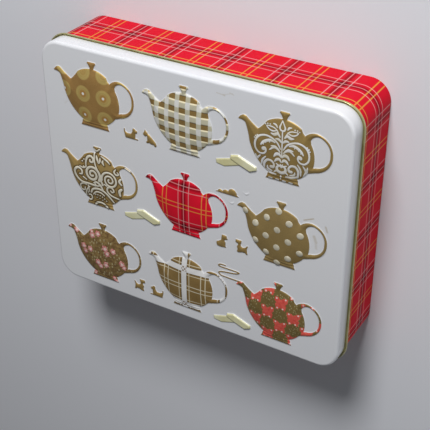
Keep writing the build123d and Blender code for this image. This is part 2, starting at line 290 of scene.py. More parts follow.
SCROLLS = [
    spiral(-5.0, 1.0, 6.9, 1.0, -34, 1.95, 1.05),
    spiral(10.0, 0.0, 7.0, 0.9, 190, -2.15, 0.8),
    [(-3, -7.8, .8), (-9, -7.6, .8), (-15, -7.6, .85), (-19.5, -4.5, .95), (-21, 0, .95), (-18, 3.4, .9),
     (-14.6, 2, .8), (-14.4, -1, .7), (-16.5, -1.6, .6)],
    [(18, -13.4, .7), (11, -12.3, .75), (7.5, -9.5, .75), (8.2, -6.2, .75), (11.5, -5.6, .7),
     (13.2, -7.8, .65),
     (11.6, -9.3, .6), (10.4, -8.2, .5)],
    [(-10.4, 6.2, .4), (-10.2, 10.2, .7), (-8.6, 14.2, .9), (-5.6, 15.8, .95), (-3.5, 13.8, .85),
     (-4.3, 11.2, .75),
     (-6.3, 11.0, .7), (-6.4, 12.6, .6)],
    [(-1.6, 22.6, .45), (-2.4, 17.5, .55), (-2.4, 12, .6), (-1.2, 7.5, .65), (1.0, 3.4, .7), (2.0, -1, .8),
     (3.6, -5.5, .85)],
    [(-.6, 18, .25), (-.1, 15.2, .95), (.9, 11.6, .25)],
    [(2.6, 16.6, .25), (2.4, 14.2, .8), (1.4, 11.4, .25)],
    [(5.2, 15.2, .3), (4.6, 13.2, .85), (5.8, 11.2, .3)],
    [(3.2, 18.4, .2), (5.6, 17.2, .6), (9.0, 15.4, .75), (10.8, 13.6, .3)],
    [(-7.2, -14.5, .7), (-5.2, -11.2, .8), (-.5, -9.8, .85), (4.5, -10.8, .8), (9, -14, .8),
     (13.5, -18.5, .6)],
    [(-5.2, -15.5, .5), (-2.5, -12.8, .6), (1.5, -12.6, .6), (4.5, -14.2, .5)],
    [(-4.2, -5.8, .5), (-1.6, -4.6, .8), (1.6, -6.4, .85), (3.4, -9.4, .7)],
    [(-3.4, -5.8, .5), (-1.8, -7.6, .6), (.8, -7.0, .5)],
    [(-11, -9, .5), (-14, -8.9, .6), (-16.8, -11, .65), (-15.8, -14, .6), (-13, -14, .55),
     (-12.6, -11.8, .5)],
    [(-8.2, -10, .5), (-11, -13.5, .6), (-12, -18, .65), (-9.5, -21, .65), (-6.8, -19.5, .6),
     (-7.4, -16.8, .6),
     (-9.6, -17, .5)],
    [(-9.5, -9.2, .45), (-9, -13.5, .5), (-10, -15.5, .4)],
    [(-16, 5, .45), (-12.5, 4.4, .5), (-10, 6.5, .45)], [(-13.6, 9.8, .6), (-13.4, 9.9, .6)],
    [(-12.0, 11.6, .55), (-11.8, 11.8, .55)],
    [(15.6, 10.8, .4), (14.2, 8.4, .7), (15.8, 6.4, .7), (18.0, 7.4, .5), (16.9, 8.8, .45)],
    [(19.6, 4.0, .7), (18.2, 1.6, .9), (20, -.6, .7)],
    [(19.8, -4.4, .9), (18.0, -6.6, 1.1), (18.4, -9.8, .8)], [(5.0, -4.4, .5), (7.0, -5.2, .6)],
    [(-13.4, -3.3, .6), (-10.5, -4.8, .5)],
    [(-4.6, -25.4, .7), (-2.6, -22, .8), (2, -20.9, .8), (6, -23, .8), (7, -25.4, .7)],
    [(-2.6, 22.8, .6), (0, 21.4, .6), (2.6, 23.4, .6)], [(24, 14.2, .5), (28, 12.6, .5)],
] + dabs((-12.6, 5.45, .7), (-3.4, -15.2, .5), (-1.4, -15, .5), (.6, -15.2, .5), (2.6, -15.8, .5),
         (4.4, -16.9, .5), (6, -18.2, .5), (-2.4, -17.4, .4), (.2, -17.6, .4), (2.6, -18.4, .4))
ROSES = [(-24.5, 11.9, 2.24), (-9.8, 11.9, 2.58), (-10.2, 15.0, 1.79), (-4.5, 14.6, 2.46), (-18.5, -.4, 2.46),
         (-17, -4.6, 2.13), (-12.3, -1.4, 2.35), (1.2, 3.0, 2.69), (3.0, -1.0, 2.58), (8.7, 2.9, 2.46),
         (16, -5.9, 2.58), (18, -8.4, 2.13), (-5.8, -11.4, 2.58), (-3.5, -14.1, 2.24), (1.5, -11.4, 2.46),
         (-9, -21.6, 1.9), (8.5, -21.4, 1.79), (10.5, -23.8, 1.68), (-30, 14.2, 1.34)]
# each scuff is (x, y, x, y, half width, strength)
SCUFFS = [(23, 90.6, 27.5, 90.2, .28, .4), (27.5, 90.2, 34.5, 92.6, .25, .3), (28, 90.2, 28.8, 90, .5, .45),
          (88, 16.6, 94.5, 19.6, .4, .7), (103.2, 16.2, 104.6, 12.6, .5, .6), (95.6, 6.5, 97.2, 2.4, .8, .45),
          (96.8, 3, 97.6, -2, .7, .3), (32.6, 92.6, 35.4, 91.8, .3, .4), (-98, 55, -100, 53, .5, .15)]


def ornament_at(kind, x, y, rise):
    """(paint, second paint, extra height) of a teapot's ornament. The flat print creeps down and to the left
    as the sheet is drawn up, so it is looked up where it lay on the flat sheet."""
    ax = x - 0.59 * rise + 0.7
    ay = y - 0.735 * rise + 0.9
    none = np.zeros(x.shape)
    if kind == "scrolls":
        deep = over_paths(ax, ay, [smooth_path(p) for p in SCROLLS]) + 0.04
        # the second value is painted shade: the gold darkens from about 1.5 mm outside each raised scroll
        return eased(deep / 0.36 + 0.5), eased((deep + 1.5) / 1.3), 0.4 * eased((deep + 0.3) / 0.9)
    if kind == "damask":
        half = [smooth_path(p) for p in DAMASK_HALF]
        deep = over_paths(np.abs(ax + 1.0), ay, half) + 0.1
        # the second value is painted shade: the gold darkens from about 0.7 mm outside the raised damask
        return eased(deep / 0.3 + 0.5), eased((deep + 0.7) / 0.6), 0.14 * eased((deep + 0.2) / 0.6)
    if kind == "gingham":
        pit = 1.0 - eased((np.abs((x + 4.3) % 8.2 - 4.1) - 2.2) / 0.5)
        pit = pit * (1.0 - eased((np.abs((y + 5.3) % 8.4 - 4.2) - 1.7) / 0.6))
        return none, none, 0.24 * (1.0 - pit)
    if kind == "roses":
        bloom = np.full(x.shape, -9.0)
        heart = np.full(x.shape, -9.0)
        for rx, ry, size in ROSES:
            angle = np.arctan2(ay - ry, ax - rx)
            lobes = size * (1.0 + 0.12 * np.cos(5.0 * angle + rx))
            away = np.hypot((ax - rx) * 1.08, (ay - ry) * 0.94)
            bloom = np.maximum(bloom, lobes - away)
            heart = np.maximum(heart, 0.45 * size - np.hypot(ax - rx - 0.3, ay - ry + 0.1))
        return eased(bloom / 0.5 + 0.5), eased(heart / 0.7 + 0.5), 0.16 * eased((bloom + 0.3) / 1.2)
    return none, none, none


# ---------------------------------------------------------------- the lid's pressed face, a tile per teapot
WHITE, GOLD, BISCUIT = 0, 1, 2


def lid_figures():
    """Every raised figure with its outlines in place, how it rises, its paint and its ornament."""
    found = []
    kinds = [["discs", "scrolls", "roses"], ["gingham", "tartan", "plaid"], ["damask", "dots", "bows"]]
    for column in range(3):
        for row in range(3):
            at = (POT_MIDDLE[0] + (column - 1) * POT_PITCH[0], POT_MIDDLE[1] + (1 - row) * POT_PITCH[1])
            found.append(dict(at=at, outlines=[TEAPOT, HANDLE_HOLE], rise=teapot_rise,
                              paint=3 + 3 * column + row, kind=kinds[column][row]))
    dogs = [
        (DOG_LYING, (-44.3, 43.9)), (DOG_LOOKING_BACK, (-28.3, 44.1)), (DOG_SITTING, (27.5, -19.6)),
        (DOG_STANDING, (42.9, -19.7)), (mirrored(DOG_STANDING), (-43.2, -83.0)),
        (mirrored(DOG_LYING), (-28.2, -83.9))]
    small = [(points, at, figure_rise, GOLD) for points, at in dogs]
    fingers = [(37.7, 45.0), (-38.4, -20.6), (35.8, -84.5)]
    small += [(SHORTBREAD, at, shortbread_rise, BISCUIT) for at in fingers]
    small += [
        (CLOUD, (31.6, 20.9), figure_rise, GOLD), (BIRD, (45.3, 23.6), figure_rise, WHITE),
        (BIRD * 0.9, (34.4, 13.2), figure_rise, WHITE)]
    for points, at, rise, paint in small:
        found.append(dict(at=at, outlines=[points], rise=rise, paint=paint, kind=""))
    found.append(dict(at=(25.3, -43.8), outlines=[], rise=figure_rise, paint=GOLD, kind="steam"))
    return found


def pressed_height(x, y, figures):
    """Height over the face, depth inside the nearest figure, that figure's number, and its two paints."""
    height, depth = np.zeros(x.shape), np.full(x.shape, -9.0)
    owner = np.zeros(x.shape, int)
    first, second = np.zeros(x.shape), np.zeros(x.shape)
    for k, figure in enumerate(figures):
        cx, cy = figure["at"]
        edge = figure["outlines"][0] if figure["outlines"] else np.array(STEAM)
        low, high = edge.min(0) - 2.0, edge.max(0) + 2.0
        near = (x > cx + low[0]) & (x < cx + high[0]) & (y > cy + low[1]) & (y < cy + high[1])
        if not near.any():
            continue
        lx, ly = x[near] - cx, y[near] - cy
        if figure["outlines"]:
            inside = depth_inside(lx, ly, figure["outlines"])
        else:
            inside = over_paths(lx, ly, [smooth_path([(px, py, 0.5) for px, py in STEAM], 5)])
        rise = figure["rise"](inside, lx, ly)
        paint, more, extra = ornament_at(figure["kind"], lx, ly, rise)
        rise = rise + np.minimum(extra * eased((inside - 0.1) / 0.6), np.maximum(TALLEST - rise, 0.0))
        height[near] = np.maximum(height[near], rise)
        nearer = inside > depth[near]
        for whole, part in ((depth, inside), (first, paint), (second, more), (owner, np.full(lx.shape, k))):
            held = whole[near]
            held[nearer] = part[nearer]
            whole[near] = held
    return height, depth, owner, first, second


def softened(values, shape):
    """Rounds off creases in a grid of heights."""
    grid = values.reshape(shape)
    for axis in (0, 1):
        wide = np.pad(grid, [(1, 1) if a == axis else (0, 0) for a in (0, 1)], mode="edge")
        low, high = np.take(wide, range(shape[axis]), axis), np.take(wide, range(2, shape[axis] + 2), axis)
        grid = 0.5 * grid + 0.25 * (low + high)
    return grid.ravel()


def scuffs_at(x, y):
    worn = np.zeros(x.shape)
    for ax, ay, bx, by, half, strength in SCUFFS:
        gap = distance_to_runs(x, y, [((ax, ay), (bx, by))])
        worn = np.maximum(worn, strength * eased(1.15 - gap / (1.8 * half)))
    return worn


def give_attribute(mesh, name, values):
    layer = mesh.attributes.new(name, "FLOAT", "POINT")
    layer.data.foreach_set("value", np.asarray(values, np.float32))


def put_in_scene(name, mesh, materials, smooth=True):
    for material in materials:
        mesh.materials.append(material)
    piece = bpy.data.objects.new(name, mesh)
    bpy.context.scene.collection.objects.link(piece)
    if smooth:
        mesh.polygons.foreach_set("use_smooth", [True] * len(mesh.polygons))
    return piece


def panel_grid(x0, x1, y0, y1, step):
    """Points of a grid with those past the panel's rounded corners moved back onto its edge, the corners of
    its cells, and its shape."""
    nx, ny = max(1, round((x1 - x0) / step)), max(1, round((y1 - y0) / step))
    x, y = (part.ravel() for part in np.meshgrid(np.linspace(x0, x1, nx + 1), np.linspace(y0, y1, ny + 1)))
    straight_x, straight_y = PANEL_HALF[0] - PANEL_CORNER, PANEL_HALF[1] - PANEL_CORNER
    past_x, past_y = np.clip(np.abs(x) - straight_x, 0, None), np.clip(np.abs(y) - straight_y, 0, None)
    away = np.hypot(past_x, past_y)
    outside = (past_x > 0) & (past_y > 0) & (away > PANEL_CORNER)
    scale = PANEL_CORNER / np.maximum(away, 1e-9)
    x = np.where(outside, np.sign(x) * (straight_x + past_x * scale), x)
    y = np.where(outside, np.sign(y) * (straight_y + past_y * scale), y)
    number = np.arange((nx + 1) * (ny + 1)).reshape(ny + 1, nx + 1)
    corners = np.stack([number[:-1, :-1], number[:-1, 1:], number[1:, 1:], number[1:, :-1]], -1)
    corners = corners.reshape(-1, 4)
    return x, y, corners[~outside[corners].all(1)], (ny + 1, nx + 1)


def used_mesh(name, x, y, z, faces):
    """A mesh of the points, in millimetres, that its faces use; also says which those are."""
    used = np.unique(np.concatenate([np.asarray(face) for face in faces]))
    back = np.full(len(x), -1)
    back[used] = np.arange(len(used))
    mesh = bpy.data.meshes.new(name)
    points = np.stack([x * MM, y * MM, z * MM], 1)[used]
    mesh.from_pydata(points.tolist(), [], [back[np.asarray(face)].tolist() for face in faces])
    return mesh, used


def press_tile(name, x0, x1, y0, y1, step, figures, materials):
    """One tile of the lid's face. Cells that a print's edge crosses are cut there, so paints end cleanly."""
    x, y, corners, shape = panel_grid(x0, x1, y0, y1, step)
    height, depth, owner, first, second = pressed_height(x, y, figures)
    values = [x, y, softened(height, shape), first, second]
    within = depth[corners] > 0
    same = within.all(1) | ~within.any(1)
    faces = corners[same].tolist()
    paints = np.array([figure["paint"] for figure in figures])
    slots = np.where(within[same, 0], paints[owner[corners[same, 0]]], WHITE).tolist()
    extra, cuts = [], {}

    def cut(a, b):
        key = (min(a, b), max(a, b))
        if key not in cuts:
            t = depth[a] / (depth[a] - depth[b])
            cuts[key] = len(x) + len(extra)
            extra.append([v[a] + (v[b] - v[a]) * t for v in values])
        return cuts[key]

    for cell in corners[~same].tolist():
        signs = [depth[c] > 0 for c in cell]
        loops = {True: [], False: []}
        for k in range(4):
            a, b = cell[k], cell[(k + 1) % 4]
            loops[signs[k]].append(a)
            if signs[k] != signs[(k + 1) % 4]:
                middle = cut(a, b)
                loops[True].append(middle)
                loops[False].append(middle)
        inner = [c for c, s in zip(cell, signs) if s]
        paint = int(paints[owner[inner[0]]])
        found = [(inside, loop) for inside, loop in loops.items() if len(loop) > 2]
        if signs[0] == signs[2] and signs[1] == signs[3]:
            # the edge crosses the cell twice: two opposite corners are cut off the rest
            full = bool(sum(depth[c] for c in cell) > 0)
            found = [(full, loops[full])]
            found += [(not full, [cut(cell[k - 1], cell[k]), cell[k], cut(cell[k], cell[(k + 1) % 4])])
                      for k in range(4) if signs[k] != full]
        for inside, loop in found:
            faces.append(loop)
            slots.append(paint if inside else WHITE)
    if extra:
        values = [np.concatenate([v, e]) for v, e in zip(values, np.array(extra).T)]
    x, y, height, first, second = values
    mesh, used = used_mesh(name, x, y, FACE + height, faces)
    give_attribute(mesh, "ornament", first[used])
    give_attribute(mesh, "heart", second[used])
    give_attribute(mesh, "scuffed", scuffs_at(x[used], y[used]))
    needed = sorted(set(slots))
    mesh.polygons.foreach_set("material_index", [needed.index(s) for s in slots])
    return put_in_scene(name, mesh, [materials[s] for s in needed])


def press_underside(step, figures, material):
    """The hollow back of the pressed panel, one sheet thickness under its face."""
    half_x, half_y = PANEL_HALF
    x, y, corners, shape = panel_grid(-half_x, half_x, -half_y, half_y, step)
    raised = pressed_height(x, y, figures)[0].reshape(shape)
    lowest = raised
    for across in (-1, 0, 1):
        for down in (-1, 0, 1):
            lowest = np.minimum(lowest, np.roll(raised, (down, across), (0, 1)))
    facing_down = corners[:, ::-1]
    mesh, _ = used_mesh("panel_underside", x, y, FACE - SHEET + lowest.ravel(), facing_down)
    return put_in_scene("panel_underside", mesh, [material])


# ---------------------------------------------------------------- folded sheet that follows the tin's outline
def sheet_section(steps):
    """Both faces of a folded sheet. A step is ("run", from, to) or ("turn", centre, radius, first, last), in
    degrees; the printed face is on the left. Returns the closed section and the share that is printed."""
    middle, left = [], []
    for step in steps:
        if step[0] == "run":
            a, b = np.array(step[1], float), np.array(step[2], float)
            long = np.hypot(*(b - a))
            along = (b - a) / long
            stops = [0.0, min(0.3, long * 0.2), max(long - 0.3, long * 0.8), long]
            if long > 8.0:
                stops[2:2] = list(np.linspace(0, long, int(long / 4.0) + 2)[1:-1])
            for s in stops:
                middle.append(a + along * s)
                left.append((-along[1], along[0]))
        else:
            _, centre, radius, first, last = step
            count = max(4, int(abs(last - first) / 15))
            for k in range(count + 1):
                angle = math.radians(first + (last - first) * k / count)
                out = np.array((math.cos(angle), math.sin(angle)))
                middle.append(np.array(centre) + radius * out)
                left.append(out if last < first else -out)
    keep = [0] + [k for k in range(1, len(middle)) if np.hypot(*(middle[k] - middle[k - 1])) > 1e-4]
    middle = np.array([middle[k] for k in keep])
    left = np.array([left[k] for k in keep])
    printed, plain = middle + left * SHEET / 2, (middle - left * SHEET / 2)[::-1]
    lengths = [np.hypot(*np.diff(side, axis=0).T).sum() for side in (printed, plain)]
    return np.concatenate([printed, plain]), (lengths[0] + SHEET * 0.5) / (sum(lengths) + 2 * SHEET)


def tin_path(inset):
    """The tin's outline from the lock seam on the short side, clockwise from above, as one open line."""
    hx, hy, radius = LENGTH / 2 - inset, WIDTH / 2 - inset, RIM_CORNER - inset
    points = [(-hx, LOCK_SEAM_Y)]

    def run_to(x, y):
        ax, ay = points[-1]
        long = math.hypot(x - ax, y - ay)
        count = max(2, int(long / 12.0))
        for s in [0.4 / long] + [k / count for k in range(1, count)] + [1 - 0.4 / long, 1.0]:
            points.append((ax + (x - ax) * s, ay + (y - ay) * s))

    for side_x, side_y, first in ((-1, 1, 180), (1, 1, 90), (1, -1, 0), (-1, -1, -90)):
        cx, cy = side_x * (hx - radius), side_y * (hy - radius)
        turns = [math.radians(first - 90.0 * k / 16) for k in range(17)]
        corner = [(cx + radius * math.cos(turn), cy + radius * math.sin(turn)) for turn in turns]
        run_to(*corner[0])
        points += corner[1:]
    run_to(-hx, LOCK_SEAM_Y)
    return points


def line_curve(name, points, closed):
    curve = bpy.data.curves.new(name, "CURVE")
    curve.dimensions = "3D"
    spline = curve.splines.new("POLY")
    spline.points.add(len(points) - 1)
    for point, (x, y) in zip(spline.points, points):
        point.co = (x * MM, y * MM, 0.0, 1.0)
    spline.use_cyclic_u = closed
    thing = bpy.data.objects.new(name, curve)
    bpy.context.scene.collection.objects.link(thing)
    return thing


def add_node(tree, kind, feeds=None, **settings):
    """A node in a tree. Feeds go to its sockets, by name or number, as a link or as a fixed value."""
    node = tree.nodes.new(kind)
    for name, value in settings.items():
        setattr(node, name, value)
    for socket, value in (feeds or {}).items():
        if isinstance(value, bpy.types.NodeSocket):
            tree.links.new(value, node.inputs[socket])
        else:
            node.inputs[socket].default_value = value
    return node


def new_tree(name, inputs):
    tree = bpy.data.node_groups.new(name, "GeometryNodeTree")
    tree.interface.new_socket("Geometry", in_out="INPUT", socket_type="NodeSocketGeometry")
    for label, kind in inputs:
        tree.interface.new_socket(label, in_out="INPUT", socket_type=kind)
    tree.interface.new_socket("Geometry", in_out="OUTPUT", socket_type="NodeSocketGeometry")
    return tree, tree.nodes.new("NodeGroupInput").outputs


def end_tree(tree, shape, finish):
    """Smooth shading, real faces and the finish, as the tree's last steps."""
    shape = add_node(tree, "GeometryNodeSetShadeSmooth", {"Geometry": shape}).outputs["Geometry"]
    shape = add_node(tree, "GeometryNodeRealizeInstances", {"Geometry": shape}).outputs["Geometry"]
    shape = add_node(tree, "GeometryNodeSetMaterial", {"Geometry": shape, "Material": finish})
    add_node(tree, "NodeGroupOutput", {"Geometry": shape.outputs["Geometry"]})
    return tree


def fold_round_tree():
    """Geometry Nodes: a folded section carried along the tin's outline. Each point keeps its place along and
    across."""
    inputs = [("Section", "NodeSocketObject"), ("Finish", "NodeSocketMaterial")]
    tree, given = new_tree("fold_round_the_tin", inputs)
    path = add_node(tree, "GeometryNodeSetCurveNormal", {"Curve": given["Geometry"]}, mode="Z_UP")
    section = add_node(tree, "GeometryNodeObjectInfo", {"Object": given["Section"]})
    marks = []
    for source, wanted in ((path.outputs["Curve"], "Length"), (section.outputs["Geometry"], "Factor")):
        keep = tree.nodes.new("GeometryNodeCaptureAttribute")
        keep.capture_items.new("FLOAT", "place")
        tree.links.new(source, keep.inputs["Geometry"])
        tree.links.new(add_node(tree, "GeometryNodeSplineParameter").outputs[wanted], keep.inputs[1])
        marks.append(keep)
    shape = add_node(tree, "GeometryNodeCurveToMesh", {
        "Curve": marks[0].outputs["Geometry"], "Profile Curve": marks[1].outputs["Geometry"],
        "Fill Caps": True}).outputs["Mesh"]
    for mark, name in zip(marks, ("along", "across")):
        shape = add_node(tree, "GeometryNodeStoreNamedAttribute", {
            "Geometry": shape, "Name": name, "Value": mark.outputs[1]},
            data_type="FLOAT", domain="POINT").outputs["Geometry"]
    return end_tree(tree, shape, given["Finish"])


def set_input(modifier, label, value):
    for item in modifier.node_group.interface.items_tree:
        if item.item_type == "SOCKET" and item.in_out == "INPUT" and item.name == label:
            modifier[item.identifier] = value


def plain_mesh(name, maker, materials):
    """The maker's evaluated shape as a plain mesh piece; the maker goes."""
    bpy.context.view_layer.update()
    depsgraph = bpy.context.evaluated_depsgraph_get()
    mesh = bpy.data.meshes.new_from_object(maker.evaluated_get(depsgraph), preserve_all_data_layers=True,
                                           depsgraph=depsgraph)
    mesh.name = name
    bpy.data.objects.remove(maker, do_unlink=True)
    mesh.materials.clear()
    return put_in_scene(name, mesh, materials, smooth=False)


FOLD_ROUND = fold_round_tree()


def smooth_sides(mesh):
    """Smooth shading on all but the end caps."""
    mesh.polygons.foreach_set("use_smooth", [len(face.vertices) == 4 for face in mesh.polygons])


def fold_round(name, steps, inset, material):
    """A folded sheet as a piece, and the share of its section that is printed."""
    section, share = sheet_section(steps)
    profile = line_curve(name + "_section", (-section).tolist(), True)
    maker = line_curve(name + "_path", tin_path(inset), False)
    modifier = maker.modifiers.new("fold", "NODES")
    modifier.node_group = FOLD_ROUND
    set_input(modifier, "Section", profile)
    set_input(modifier, "Finish", material)
    piece = plain_mesh(name, maker, [material])
    smooth_sides(piece.data)
    bpy.data.objects.remove(profile, do_unlink=True)
    return piece, share


def lock_seam(material):
    """The strip's two ends, hooked together and pressed flat on the wall's inside: a ridge with rounded edges
    and the line where the hooks meet."""
    skin, deep, half = LENGTH / 2 - WALL_INSET - SHEET + 0.01, 3 * SHEET, 2.5
    low, high, tip = 2.3, 54.0, 0.4
    section = [(0.0, -half), (0.55, -half), (0.72, -half + 0.07), (0.81, -half + 0.17), (deep, -half + 0.32),
               (deep, 1.55), (0.79, 1.66), (0.62, 1.72), (0.62, 1.8), (0.74, 1.88), (0.78, 2.0),
               (0.75, half - 0.2), (0.66, half - 0.06), (0.5, half), (0.0, half)]
    levels = [(low + (high - low) * k / 12, 1.0) for k in range(13)]
    levels = [(low - tip, 0.4)] + levels + [(high + tip, 0.4)]
    points = [((out * share - skin) * MM, (LOCK_SEAM_Y + y) * MM, z * MM)
              for z, share in levels for out, y in section]
    many, count = len(section), len(section) * len(levels)
    faces = [(r + k, r + (k + 1) % many, r + many + (k + 1) % many, r + many + k)
             for r in range(0, count - many, many) for k in range(many)]
    faces += [tuple(reversed(range(many))), tuple(range(count - many, count))]
    mesh = bpy.data.meshes.new("lock_seam")
    mesh.from_pydata(points, [], faces)
    work = bmesh.new()
    work.from_mesh(mesh)
    bmesh.ops.recalc_face_normals(work, faces=work.faces)
    work.to_mesh(mesh)
    work.free()
    smooth_sides(mesh)
    return put_in_scene("lock_seam", mesh, [material], smooth=False)


# ---------------------------------------------------------------- finishes
def linear(r, g, b):
    """A colour as seen on a screen, 0 to 255, as light."""
    out = []
    for v in (r, g, b):
        v = v / 255.0
        out.append(v / 12.92 if v <= 0.04045 else ((v + 0.055) / 1.055) ** 2.4)
    return (*out, 1.0)


class Finish:
    """A node material under construction. Its methods take sockets or numbers and return a socket."""

    def __init__(self, name, roughness=0.4, metallic=0.0, coat=0.0, specular=0.5):
        self.material = bpy.data.materials.new(name)
        self.material.use_nodes = True
        self.tree = self.material.node_tree
        self.shader = self.tree.nodes["Principled BSDF"]
        for socket, value in (("Roughness", roughness), ("Metallic", metallic), ("Coat Weight", coat),
                              ("Coat Roughness", 0.12), ("Specular IOR Level", specular)):
            self.shader.inputs[socket].default_value = value
        self.place = self.add("ShaderNodeTexCoord").outputs["Object"]

    def add(self, kind, feeds=None, **settings):
        return add_node(self.tree, kind, feeds, **settings)

    def math(self, kind, a, b=0.0, c=0.0, clamp=False):
        return self.add("ShaderNodeMath", {0: a, 1: b, 2: c}, operation=kind, use_clamp=clamp).outputs[0]

    def times(self, a, b):
        return self.math("MULTIPLY", a, b)

    def plus(self, a, b):
        return self.math("ADD", a, b)

    def less(self, a, b):
        return self.math("SUBTRACT", a, b)

    def size_of(self, value):
        return self.math("ABSOLUTE", value)

    def rest_of(self, share):
        """What a share leaves of 1."""
        return self.math("SUBTRACT", 1.0, share, clamp=True)

    def far(self, dx, dy):
        return self.math("SQRT", self.plus(self.times(dx, dx), self.times(dy, dy)))

    def mix(self, share, a, b):
        return self.add("ShaderNodeMix", {0: share, 6: a, 7: b}, data_type="RGBA").outputs[2]

    def spread(self, value, low, high, out_low=0.0, out_high=1.0):
        return self.add("ShaderNodeMapRange", {0: value, 1: low, 2: high, 3: out_low, 4: out_high}).outputs[0]

    def attribute(self, name):
        return self.add("ShaderNodeAttribute", attribute_name=name).outputs["Fac"]

    def noise(self, scale, detail=2.0, roughness=0.5, where=None, stretch=None):
        where = self.place if where is None else where
        if stretch:
            where = self.add("ShaderNodeMapping", {"Vector": where, "Scale": stretch}).outputs["Vector"]
        return self.add("ShaderNodeTexNoise", {
            "Vector": where, "Scale": scale, "Detail": detail, "Roughness": roughness}).outputs["Fac"]

    def height_up(self):
        """Height over the floor, in metres."""
        return self.add("ShaderNodeSeparateXYZ", {"Vector": self.place}).outputs["Z"]

    def flat_millimetres(self, at):
        """x and y in millimetres from a figure's own middle, and both as one place."""
        place = self.add("ShaderNodeMapping", {"Vector": self.place, "Scale": (1000.0, 1000.0, 1000.0),
                                               "Location": (-at[0], -at[1], 0.0)}).outputs["Vector"]
        split = self.add("ShaderNodeSeparateXYZ", {"Vector": place}).outputs
        return split["X"], split["Y"], place

    def wrapped(self, value, centre, pitch):
        """Distance from the nearest repeat, from minus half a pitch to plus half."""
        return self.math("WRAP", self.less(value, centre), pitch / 2, -pitch / 2)

    def band(self, value, centre, half, soft=0.12):
        """1 within half of the centre, falling to 0 over soft."""
        return self.spread(self.size_of(self.less(value, centre)), half - soft, half + soft, 1.0, 0.0)

    def strongest(self, *values):
        best = values[0]
        for value in values[1:]:
            best = self.math("MAXIMUM", best, value)
        return best

    def bump(self, height, distance=0.00005, strength=0.5):
        bumps = self.add("ShaderNodeBump", {"Height": height, "Distance": distance, "Strength": strength})
        self.tree.links.new(bumps.outputs["Normal"], self.shader.inputs["Normal"])

    def done(self, colour, roughness=None, metallic=None):
        for socket, value in (("Base Color", colour), ("Roughness", roughness), ("Metallic", metallic)):
            if value is not None:
                self.tree.links.new(value, self.shader.inputs[socket])
        return self.material


ENAMEL = linear(226, 225, 225)
ENAMEL_WORN = linear(204, 202, 196)
CREAM = linear(214, 208, 190)
GOLD_INK = linear(186, 154, 94)
GOLD_DEEP = linear(144, 112, 64)
GOLD_PALE = linear(214, 184, 116)
SCARLET = (0.70, 0.009, 0.027, 1.0)
MAROON = linear(92, 8, 16)
YELLOW_THREAD = linear(230, 172, 72)
WHITE_THREAD = linear(236, 214, 208)
DARK_THREAD = (0.03, 0.002, 0.005, 1.0)


def enamel_colour(f):
    """Off-white enamel: slow drift of tone, faint handling marks and a few scuffs down to the lacquer."""
    drift = f.spread(f.noise(14.0, 3.0), 0.35, 0.7)
    marks = f.spread(f.noise(60.0, 6.0, 0.7, stretch=(1.0, 3.2, 1.0)), 0.62, 0.74)
    colour = f.mix(f.times(drift, 0.35), ENAMEL, linear(220, 222, 226))
    colour = f.mix(f.times(marks, 0.16), colour, ENAMEL_WORN)
    torn = f.spread(f.noise(700.0, 2.0, 0.5), 0.2, 0.6, 0.6, 1.0)
    scuff = f.times(f.attribute("scuffed"), torn)
    return f.mix(scuff, colour, linear(178, 160, 126)), marks


def enamel():
    f = Finish("off_white_enamel", roughness=0.34, coat=0.25)
    colour, marks = enamel_colour(f)
    rough = f.plus(f.spread(f.noise(40.0, 4.0), 0.3, 0.7, 0.30, 0.40), f.times(marks, 0.12))
    f.bump(f.noise(420.0, 2.0, 0.4), 0.00002, 0.35)
    return f.done(colour, rough)


def gold_colour(f, tone=GOLD_INK, deep=GOLD_DEEP):
    """Printed gold: fine grain in the ink and slow cloudiness."""
    grain = f.noise(1500.0, 2.0, 0.6)
    cloud = f.noise(70.0, 3.0, 0.5)
    colour = f.mix(f.spread(cloud, 0.3, 0.75, 0.0, 0.45), tone, deep)
    return f.mix(f.spread(grain, 0.35, 0.75, 0.0, 0.3), colour, GOLD_PALE)


GOLD_SHEEN = dict(roughness=0.45, metallic=0.55, specular=0.4)


def end_gold(f, colour, bare=None):
    """Finishes a teapot: gold ink shines like metal, other inks don't."""
    rough = f.spread(f.noise(300.0, 3.0), 0.3, 0.7, 0.38, 0.50)
    f.bump(f.noise(700.0, 2.0, 0.5), 0.000025, 0.4)
    if bare is None:
        return f.done(colour, rough)
    return f.done(colour, rough, f.spread(bare, 0.0, 1.0, 0.0, 0.55))


def gold_print():
    f = Finish("gold_print", **GOLD_SHEEN)
    return end_gold(f, gold_colour(f))


def shortbread_print():
    f = Finish("shortbread_print", roughness=0.4, coat=0.15)
    crumb = f.noise(480.0, 4.0, 0.65)
    bake = f.noise(60.0, 2.0)
    colour = f.mix(f.spread(bake, 0.35, 0.7), linear(222, 219, 182), linear(208, 201, 150))
    colour = f.mix(f.spread(crumb, 0.5, 0.8, 0.0, 0.35), colour, linear(232, 229, 200))
    f.bump(crumb, 0.00006, 0.5)
    return f.done(colour, f.spread(crumb, 0.3, 0.7, 0.36, 0.5))


def plaid_lines(f, u, v, scale, middle, pitch):
    """The sett: dark stripes about a cream thread, white threads outside them, a yellow pair half a repeat
    away. Returns the shares of cream, yellow and white, and each direction's of dark stripe and its shade."""
    threads, darks = [], []
    for value, centre, repeat in ((u, middle[0], pitch[0]), (v, middle[1], pitch[1])):
        near = f.wrapped(value, centre, repeat)
        off, far_off = f.size_of(near), f.size_of(f.wrapped(value, centre + repeat / 2, repeat))
        threads.append((f.band(near, 0.0, 0.32 * scale, 0.16 * scale),
                        f.band(far_off, 2.1 * scale, 0.42 * scale, 0.16 * scale),
                        f.band(off, 5.2 * scale, 0.34 * scale, 0.16 * scale)))
        darks.append((f.band(off, 1.3 * scale, 0.85 * scale, 0.2 * scale),
                      f.band(off, 0.0, 3.4 * scale, 0.3 * scale)))
    return [f.strongest(a, b) for a, b in zip(*threads)], darks


